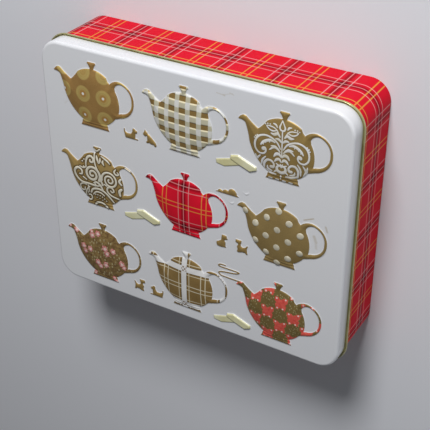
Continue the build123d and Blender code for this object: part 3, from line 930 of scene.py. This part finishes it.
def tartan_colour(f, u, v, scale, middle, pitch, ink=1.0):
    (creams, yellows, whites), darks = plaid_lines(f, u, v, scale, middle, pitch)
    (dark_u, shade_u), (dark_v, shade_v) = darks
    colour = f.mix(f.times(f.plus(shade_u, shade_v), 0.2), SCARLET, MAROON)
    colour = f.mix(f.times(f.plus(dark_u, dark_v), 0.47), colour, MAROON)
    colour = f.mix(f.times(f.times(dark_u, dark_v), 0.18), colour, DARK_THREAD)
    colour = f.mix(f.times(yellows, 0.76 * ink), colour, YELLOW_THREAD)
    colour = f.mix(f.times(whites, 0.5 * ink), colour, WHITE_THREAD)
    return f.mix(f.times(creams, 0.48 * ink), colour, WHITE_THREAD)


def weave(f, u, v, colour, amount=0.16):
    """Printed twill: faint slanting threads that darken the colour a little."""
    slant = f.plus(u, v)
    thread = f.size_of(f.wrapped(slant, 0.0, 0.9))
    shade = f.spread(thread, 0.12, 0.4, 0.0, amount)
    return f.mix(shade, colour, (0.03, 0.004, 0.006, 1.0))


def wall_print(share):
    """Tartan round the wall's outside, gold lacquer on its inside."""
    f = Finish("tartan_wall", roughness=0.4, specular=0.02)
    u = f.times(f.attribute("along"), 1000.0)
    v = f.times(f.height_up(), 1000.0)
    colour = tartan_colour(f, u, f.math("MAXIMUM", v, 5.0), 1.0, (159.3, 19.5), (39.6, 39.6))
    colour = weave(f, u, v, colour)
    drift = f.spread(f.noise(30.0, 3.0), 0.35, 0.7, 0.0, 0.22)
    colour = f.mix(drift, colour, linear(196, 20, 34))
    rub = f.times(f.spread(f.noise(220.0, 5.0, 0.7), 0.56, 0.7), f.band(v, 0.4, 0.7, 0.5))
    colour = f.mix(f.times(rub, 0.7), colour, linear(196, 186, 160))
    inside = f.math("GREATER_THAN", f.attribute("across"), share)
    colour = f.mix(inside, colour, lacquer_colour(f))
    f.bump(f.noise(380.0, 2.0, 0.4), 0.00002, 0.3)
    rough = f.spread(f.noise(50.0, 4.0), 0.3, 0.7, 0.34, 0.46)
    return f.done(colour, rough, f.times(inside, 0.6))


def lacquer_colour(f):
    """Gold lacquer over tinplate."""
    return f.mix(f.spread(f.noise(24.0, 4.0, 0.6), 0.3, 0.7), linear(176, 160, 104), linear(156, 140, 88))


def lacquer(name="gold_lacquer"):
    f = Finish(name, roughness=0.3, metallic=0.6, coat=0.1)
    grain = f.noise(260.0, 3.0, 0.6, stretch=(0.05, 1.0, 1.0))
    f.bump(grain, 0.00003, 0.35)
    return f.done(lacquer_colour(f), f.spread(grain, 0.3, 0.7, 0.26, 0.4))


def rim_print(share):
    """Enamel on the lid's printed side; the sheet's lacquered inside shows on the rolled rim."""
    f = Finish("lid_rim", roughness=0.32, coat=0.25)
    colour, _ = enamel_colour(f)
    inside = f.math("GREATER_THAN", f.attribute("across"), share)
    gold = f.strongest(inside, f.spread(f.height_up(), 0.0455, 0.0457, 1.0, 0.0))
    rolled = f.mix(f.spread(f.noise(90.0, 4.0, 0.6), 0.35, 0.7), linear(206, 200, 146), linear(176, 166, 112))
    colour = f.mix(gold, colour, rolled)
    f.bump(f.noise(300.0, 3.0, 0.5), 0.00003, 0.35)
    return f.done(colour, f.spread(f.noise(70.0, 4.0), 0.3, 0.7, 0.28, 0.38), f.times(gold, 0.6))


def discs_print(at):
    """Pale gold discs with rings and a white spot, in rows on brown gold."""
    f = Finish("teapot_discs", **GOLD_SHEEN)
    x, y, _ = f.flat_millimetres(at)
    dx, dy = f.wrapped(x, -7.2, 16.8), f.wrapped(y, 0.3, 16.1)
    out = f.far(dx, dy)
    colour = gold_colour(f, linear(200, 154, 91), linear(160, 117, 64))
    disc = f.spread(out, 5.9, 6.15, 1.0, 0.0)
    rings = f.spread(f.math("SINE", f.times(out, 3.6)), -1.0, 1.0)
    pale = f.mix(f.times(rings, 0.3), linear(230, 200, 122), linear(200, 164, 86))
    colour = f.mix(disc, colour, pale)
    lower = f.math("LESS_THAN", y, 11.0)
    inner = f.times(f.spread(out, 2.0, 3.6, 0.6, 0.0), f.spread(lower, 0.0, 1.0, 0.4, 1.0))
    colour = f.mix(inner, colour, linear(206, 138, 66))
    spot = f.times(f.spread(out, 0.85, 1.15, 1.0, 0.0), lower)
    colour = f.mix(spot, colour, linear(226, 224, 216))
    return end_gold(f, colour, f.less(1.0, spot))


def gingham_print(at):
    """Gold checks on white with half-tone stripes between them; each check has a painted highlight along its
    lower edge and painted shade along its upper one.
    """
    f = Finish("teapot_gingham", roughness=0.36, coat=0.2)
    x, y, _ = f.flat_millimetres(at)
    dx, dy = f.wrapped(x, -0.2, 8.2), f.wrapped(y, -1.4, 8.4)
    across, down = f.band(dx, 0.0, 2.4, 0.15), f.band(dy, 0.3, 1.75, 0.15)
    both = f.times(across, down)
    threads = f.spread(f.math("SINE", f.times(x, 9.0)), -1.0, 1.0, 0.75, 1.0)
    stripe = f.times(f.strongest(across, down), threads)
    colour = f.mix(f.times(stripe, 0.72), linear(218, 216, 208), linear(170, 161, 114))
    # painted highlight: a light cream line along each check's lower edge, where the pit's slope would catch
    # the light
    colour = f.mix(f.times(f.band(dy, -1.95, 0.5, 0.2), across), colour, linear(242, 230, 192))
    gold = gold_colour(f, linear(176, 141, 80), linear(134, 100, 56))
    colour = f.mix(both, colour, gold)
    # painted shade: a dark brown line along each check's upper edge, where the pit's slope would lie in shade
    colour = f.mix(f.times(f.times(f.band(dy, 2.05, 0.35, 0.2), across), 0.6), colour, linear(92, 62, 34))
    return end_gold(f, colour, both)


def ornament_print(name, ink, ground, deep, edge):
    """Light ornament on gold, with a darker band where the two meet: painted shade at the foot of the raised
    ornament.
    """
    f = Finish(name, **GOLD_SHEEN)
    mask = f.attribute("ornament")
    near = f.attribute("heart")
    colour = gold_colour(f, ground, deep)
    # painted shade: the 'heart' attribute darkens the gold next to the raised ornament, as strong as edge
    # says
    colour = f.mix(f.times(near, edge), colour, linear(74, 50, 24))
    tone = f.mix(f.spread(f.noise(160.0, 3.0), 0.35, 0.7), ink, CREAM)
    return end_gold(f, f.mix(f.spread(mask, 0.3, 0.7), colour, tone), f.spread(mask, 0.7, 0.3))


def tartan_teapot(at):
    f = Finish("teapot_tartan", roughness=0.36, specular=0.15)
    x, y, _ = f.flat_millimetres(at)
    colour = tartan_colour(f, x, y, 0.8, (-0.6, 14.6), (31.6, 31.8), 0.78)
    return end_gold(f, weave(f, x, y, colour, 0.1))


def plaid_teapot(at):
    """Gold plaid crossed by broad white bands."""
    f = Finish("teapot_plaid", roughness=0.34, coat=0.2)
    x, y, _ = f.flat_millimetres(at)
    middle, pitch = (-1.4, 10.6), (31.0, 31.2)
    (_, yellows, whites), ((_, shade_x), (_, shade_y)) = plaid_lines(f, x, y, 0.82, middle, pitch)
    colour = gold_colour(f, linear(176, 142, 84), linear(136, 102, 58))
    colour = f.mix(f.times(f.plus(shade_x, shade_y), 0.3), colour, linear(84, 56, 28))
    threads = f.strongest(yellows, whites)
    bands, edges = [], []
    for value, centre, repeat, half in ((x, middle[0], pitch[0], 2.15), (y, middle[1], pitch[1], 2.25)):
        off = f.size_of(f.wrapped(value, centre, repeat))
        bands.append(f.band(off, 0.0, half, 0.15))
        edges.append(f.band(off, half + 0.3, 0.22, 0.12))
    knob = f.times(f.band(x, -1.0, 2.3, 0.3), f.math("GREATER_THAN", y, 18.8))
    broad = f.strongest(knob, *bands)
    both = f.times(bands[0], bands[1])
    colour = f.mix(f.times(f.strongest(*edges), 0.6), colour, linear(84, 58, 28))
    colour = f.mix(f.times(threads, 0.85), colour, linear(222, 214, 188))
    colour = f.mix(broad, colour, linear(224, 222, 218))
    checks = f.times(f.math("SINE", f.times(x, 2.2)), f.math("SINE", f.times(y, 2.2)))
    knot = f.times(both, f.spread(checks, -0.1, 0.25))
    colour = f.mix(f.times(knot, 0.85), colour, linear(118, 84, 44))
    return end_gold(f, colour, f.rest_of(f.strongest(threads, broad)))


def dots_teapot():
    f = Finish("teapot_dots", **GOLD_SHEEN)
    return end_gold(f, gold_colour(f, linear(182, 154, 98), linear(142, 114, 70)))


def flecked(f, where, colour, tint, scale, share, stretch=(1.0, 0.62, 1.0)):
    """Scatters small long flecks over a colour."""
    turned = f.add("ShaderNodeMapping", {"Vector": where, "Scale": stretch, "Rotation": (0.0, 0.0, 0.35)})
    cells = f.add("ShaderNodeTexVoronoi", {
        "Vector": turned.outputs["Vector"], "Scale": scale, "Randomness": 0.7})
    fleck = f.spread(cells.outputs["Distance"], 0.2, 0.32, 1.0, 0.0)
    return f.mix(f.times(fleck, share), colour, tint)


def roses_teapot(at):
    """Small pink roses on mossy brown gold full of pale flecks."""
    f = Finish("teapot_roses", roughness=0.4, metallic=0.2, coat=0.15)
    _, _, mm = f.flat_millimetres(at)
    bloom, heart = f.attribute("ornament"), f.attribute("heart")
    colour = gold_colour(f, linear(154, 126, 76), linear(118, 88, 53))
    moss = f.spread(f.noise(0.34, 3.0, 0.6, where=mm), 0.42, 0.62)
    colour = f.mix(f.times(moss, 0.55), colour, linear(92, 58, 38))
    colour = flecked(f, mm, colour, linear(224, 212, 164), 0.44, 0.6)
    colour = flecked(f, mm, colour, linear(78, 48, 30), 0.47, 0.5, (0.8, 1.3, 1.0))
    rim = f.times(f.spread(bloom, 0.0, 0.25), f.spread(bloom, 0.6, 0.3))
    colour = f.mix(f.times(rim, 0.7), colour, linear(92, 38, 28))
    blush = f.spread(f.noise(0.9, 2.0, 0.5, where=mm), 0.4, 0.62)
    petal = f.mix(blush, linear(222, 166, 156), linear(186, 96, 92))
    petal = f.mix(heart, petal, linear(232, 206, 196))
    colour = f.mix(f.spread(bloom, 0.35, 0.65), colour, petal)
    return end_gold(f, colour, f.times(f.spread(bloom, 0.5, 0.2), 0.5))


def bows_teapot(at):
    """Red four-lobed bows with a white dot in each lobe, in slanting rows on flecked gold."""
    f = Finish("teapot_bows", roughness=0.38, metallic=0.15, coat=0.2)
    x, y, mm = f.flat_millimetres(at)
    colour = gold_colour(f, linear(150, 126, 72), linear(114, 92, 54))
    colour = flecked(f, mm, colour, linear(224, 212, 156), 0.7, 0.7)
    reds, whites = [], []
    wobble = f.spread(f.noise(0.6, 2.0, where=mm), 0.2, 0.8, -0.6, 0.6)
    for shift in (0.0, 9.8):
        dx, dy = f.wrapped(x, 3.3 + shift, 19.6), f.wrapped(y, 9.25 + shift, 19.6)
        wide, tall = f.size_of(dx), f.size_of(dy)
        sides = f.less(f.math("MULTIPLY_ADD", dy, 0.17, 4.4), wide)
        ends = f.less(4.9, tall)
        waist = f.less(f.math("MULTIPLY_ADD", tall, 0.75, 3.5), wide)
        notch = f.less(f.math("MULTIPLY_ADD", wide, 0.75, 3.2), tall)
        least = f.math("MINIMUM", f.math("MINIMUM", sides, ends), f.math("MINIMUM", waist, notch))
        reds.append(f.spread(f.plus(least, wobble), -0.1, 0.2))
        for px, py in ((-3.3, 3.7), (3.4, 4.0), (-2.4, -3.7), (1.7, -3.8)):
            whites.append(f.spread(f.far(f.less(dx, px), f.less(dy, py)), 0.5, 0.8, 1.0, 0.0))
    red, white = f.strongest(*reds), f.strongest(*whites)
    tone = f.mix(f.spread(f.noise(0.5, 2.0, where=mm), 0.35, 0.7), linear(222, 96, 80), linear(200, 72, 62))
    colour = f.mix(red, colour, tone)
    colour = f.mix(white, colour, linear(238, 206, 196))
    return end_gold(f, colour, f.rest_of(red))


# ---------------------------------------------------------------- raised dots
def dots_tree():
    """Geometry Nodes: a low flat-backed button set on every point, leaning with the surface under it."""
    tree, given = new_tree("raised_dots", [
        ("Dot diameter", "NodeSocketFloat"), ("Dot height", "NodeSocketFloat"),
     ("Finish", "NodeSocketMaterial")])
    ball = add_node(tree, "GeometryNodeMeshUVSphere", {"Segments": 28, "Rings": 14, "Radius": 1.0})
    where = add_node(tree, "GeometryNodeInputPosition").outputs["Position"]
    trim = add_node(tree, "ShaderNodeVectorMath", {0: where, 1: (-2.0, -2.0, -0.08)}, operation="MAXIMUM")
    button = add_node(tree, "GeometryNodeSetPosition", {
        "Geometry": ball.outputs["Mesh"], "Position": trim.outputs["Vector"]}).outputs["Geometry"]
    share = add_node(tree, "GeometryNodeInputNamedAttribute", {"Name": "share"}, data_type="FLOAT")
    lean = add_node(tree, "GeometryNodeInputNamedAttribute", {"Name": "lean"}, data_type="FLOAT_VECTOR")
    half = add_node(tree, "ShaderNodeMath", {0: given["Dot diameter"], 1: 0.5}, operation="MULTIPLY")
    tall = add_node(tree, "ShaderNodeMath", {0: given["Dot height"], 1: share.outputs["Attribute"]},
                    operation="MULTIPLY")
    size = add_node(tree, "ShaderNodeCombineXYZ", {
        "X": half.outputs[0], "Y": half.outputs[0], "Z": tall.outputs[0]}).outputs["Vector"]
    aim = add_node(tree, "FunctionNodeAlignRotationToVector", {"Vector": lean.outputs["Attribute"]}, axis="Z")
    spots = add_node(tree, "GeometryNodeMeshToPoints", {"Mesh": given["Geometry"]}).outputs["Points"]
    shape = add_node(tree, "GeometryNodeInstanceOnPoints", {
        "Points": spots, "Instance": button, "Rotation": aim.outputs["Rotation"], "Scale": size})
    return end_tree(tree, shape.outputs["Instances"], given["Finish"])


def dots_finish():
    f = Finish("cream_dots", roughness=0.36, coat=0.2)
    colour = f.mix(f.spread(f.noise(500.0, 3.0), 0.35, 0.7), linear(206, 198, 176), linear(184, 176, 152))
    f.bump(f.noise(600.0, 2.0), 0.00003, 0.3)
    return f.done(colour)


DOT_WIDTH = 5.0
DOT_HEIGHT = 0.85
DOT_SINK = 0.15
DOT_PITCH = (8.2, 6.8)
# each row's number up from the teapot's waist, how far it is lifted out of line, and its dots' columns
DOT_ROWS = [(4, 0, (0,)), (3, 0, (-3, -1, 1)), (2, 0, (-2, 0, 2)), (1, 0, (-1, 1)), (0, 0, (-2, 0, 2)),
            (-1, 0, (-1, 1)), (-2, 0.9, (0,))]


def raise_dots(at, figures, material):
    places = [(at[0] - 1.5 + column * DOT_PITCH[0], at[1] - 10.1 + row * DOT_PITCH[1] + lift)
              for row, lift, columns in DOT_ROWS for column in columns]
    x, y = np.array(places).T

    def height_at(dx, dy):
        return pressed_height(x + dx, y + dy, figures)[0]

    height, reach = height_at(0, 0), 1.2
    slopes = [(height_at(reach * dx, reach * dy) - height_at(-reach * dx, -reach * dy)) / (2 * reach)
              for dx, dy in ((1, 0), (0, 1))]
    slope_x, slope_y = np.clip(slopes, -0.25, 0.25)
    mesh = bpy.data.meshes.new("dot_places")
    mesh.from_pydata(np.stack([x, y, FACE + height - DOT_SINK], 1).dot(MM).tolist(), [], [])
    give_attribute(mesh, "share", np.minimum(DOT_HEIGHT, TALLEST - height + DOT_SINK) / DOT_HEIGHT)
    lean = mesh.attributes.new("lean", "FLOAT_VECTOR", "POINT")
    lean.data.foreach_set("vector", np.stack([-slope_x, -slope_y, np.ones(len(x))], 1).ravel())
    maker = bpy.data.objects.new("dot_places", mesh)
    bpy.context.scene.collection.objects.link(maker)
    modifier = maker.modifiers.new("dots", "NODES")
    modifier.node_group = dots_tree()
    set_input(modifier, "Dot diameter", DOT_WIDTH * MM)
    set_input(modifier, "Dot height", DOT_HEIGHT * MM)
    set_input(modifier, "Finish", material)
    return plain_mesh("raised_dots", maker, [material])


# ---------------------------------------------------------------- building the lid
FIGURES = lid_figures()
POT_AT = {figure["kind"]: figure["at"] for figure in FIGURES if figure["kind"] not in ("", "steam")}
# the teapots' paints are numbered from 3, down each column from the left
PAINTS = {
    WHITE: enamel(), GOLD: gold_print(), BISCUIT: shortbread_print(),
    3: discs_print(POT_AT["discs"]),
    # an ornament print's last number is the strength of its painted shade round the raised ornament
    4: ornament_print("teapot_scrolls", linear(214, 207, 186), linear(206, 174, 108), linear(172, 132, 76),
                      0.8),
    5: roses_teapot(POT_AT["roses"]),
    6: gingham_print(POT_AT["gingham"]), 7: tartan_teapot(POT_AT["tartan"]), 8: plaid_teapot(POT_AT["plaid"]),
    9: ornament_print("teapot_damask", linear(226, 226, 226), linear(186, 156, 94), linear(148, 114, 64),
                      0.3),
    10: dots_teapot(), 11: bows_teapot(POT_AT["bows"])}

# the edges of the tiles are moved a little off the middle between teapots, to pass between the small dogs
panel_x, panel_y = PANEL_HALF
half_pitch_x, half_pitch_y = POT_PITCH[0] / 2, POT_PITCH[1] / 2
column_edges = [-panel_x, POT_MIDDLE[0] - half_pitch_x + 2.4, POT_MIDDLE[0] + half_pitch_x + 2.0, panel_x]
row_edges = [panel_y, POT_MIDDLE[1] + half_pitch_y - 1.0, POT_MIDDLE[1] - half_pitch_y - 1.0, -panel_y]
coarse = 0.33
fine = 0.27
tiles = []
for column in range(3):
    for row in range(3):
        kind = FIGURES[3 * column + row]["kind"]
        step = fine if kind in ("scrolls", "damask", "gingham") else coarse
        tiles.append(press_tile("panel_" + kind, *column_edges[column:column + 2], row_edges[row + 1],
                                row_edges[row], step, FIGURES, PAINTS))

INSIDE = lacquer()
underside = press_underside(0.9, FIGURES, INSIDE)

placeholder = bpy.data.materials.new("placeholder")
# sections are drawn through the middle of the sheet, x from its outer face and z from the floor
mid = SHEET / 2
roll = RIM_CURL / 2 - mid
rim, rim_share = fold_round("lid_rim", [
    ("run", (-2.5, FACE - mid - 0.04), (-SHOULDER, FACE - mid)),
    ("turn", (-SHOULDER, FACE - SHOULDER), SHOULDER - mid, 90, 0),
    ("run", (-mid, FACE - SHOULDER), (-mid, FACE - SKIRT_DROP)),
    ("turn", (-mid + roll, FACE - SKIRT_DROP), roll, 180, 415)], SKIRT_INSET, placeholder)
rim.data.materials[0] = rim_print(rim_share)

layer = SHEET + FOLD_GAP
fold_x = mid + layer - SEAM_WIDTH
wall, wall_share = fold_round("tin_wall", [
    ("turn", (-WALL_CURL / 2, WALL_CURL_Z), WALL_CURL / 2 - mid, 280, 0),
    ("run", (-mid, WALL_CURL_Z), (-mid, BASE_TURN)),
    ("turn", (-BASE_TURN, BASE_TURN), BASE_TURN - mid, 0, -90),
    ("run", (-BASE_TURN, mid), (fold_x, mid)),
    ("turn", (fold_x, mid + layer), layer, 270, 90),
    ("run", (fold_x, mid + 2 * layer), (-BASE_TURN - layer, mid + 2 * layer))], WALL_INSET, placeholder)
wall.data.materials[0] = wall_print(wall_share)
bpy.data.materials.remove(placeholder)

dots = raise_dots(POT_AT["dots"], FIGURES, dots_finish())

for piece in tiles + [underside, rim, dots]:
    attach(piece, "lid")
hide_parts("lid")
seam = lock_seam(INSIDE)
for piece in (wall, seam):
    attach(piece, "tin")
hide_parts("body_wall")
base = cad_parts["base_panel"]
base.data.materials.clear()
base.data.materials.append(lacquer("base_lacquer"))
for place in base.material_slots:
    place.material = base.data.materials[0]

# ---------------------------------------------------------------- floor, light and camera
floor_mesh = bpy.data.meshes.new("floor")
floor_mesh.from_pydata([(-4, -4, 0), (4, -4, 0), (4, 4, 0), (-4, 4, 0)], [], [(0, 1, 2, 3)])
floor_finish = Finish("pale_floor", roughness=0.8, specular=0.1)
floor_colour = floor_finish.mix(floor_finish.noise(3.0, 2.0), linear(226, 226, 228), linear(222, 222, 225))
floor = put_in_scene("floor", floor_mesh, [floor_finish.done(floor_colour)])

scene = bpy.context.scene
world = bpy.data.worlds.new("studio")
scene.world = world
world.use_nodes = True
world.node_tree.nodes["Background"].inputs["Color"].default_value = (0.86, 0.89, 0.95, 1.0)
world.node_tree.nodes["Background"].inputs["Strength"].default_value = 0.10
scene.view_settings.view_transform = "Standard"


def lamp(name, at, aim, size, power, colour=(1.0, 1.0, 1.0)):
    light = bpy.data.lights.new(name, "AREA")
    light.shape, light.size, light.energy, light.color = "DISK", size, power, colour
    thing = bpy.data.objects.new(name, light)
    scene.collection.objects.link(thing)
    thing.location = at
    thing.rotation_euler = (Vector(aim) - Vector(at)).to_track_quat("-Z", "Y").to_euler()


lamp("key", (0.10, 1.12, 0.74), (0, 0, 0.04), 0.45, 17.6, (0.955, 0.97, 1.0))
lamp("fill", (1.25, 0.05, 0.42), (0, 0, 0.04), 0.8, 1.9, (0.86, 0.94, 1.0))

camera_data = bpy.data.cameras.new("camera")
camera_data.sensor_width = 36.0
camera_data.lens = 84.5
camera_data.clip_start = 0.01
camera = bpy.data.objects.new("camera", camera_data)
scene.collection.objects.link(camera)
# back points from the tin to the camera; the roll shows the tin as if it stood on its long side
CAMERA_AT = (0.3153, 0.3646, 0.5541)
back = Vector((0.42979, 0.53507, 0.72731)).normalized()
right = Vector((-0.27145, 0.84481, -0.46110)).cross(back).normalized()
turn = Matrix((right, back.cross(right), back)).transposed().to_4x4()
camera.matrix_world = Matrix.Translation(CAMERA_AT) @ turn
scene.camera = camera

bpy.context.view_layer.update()
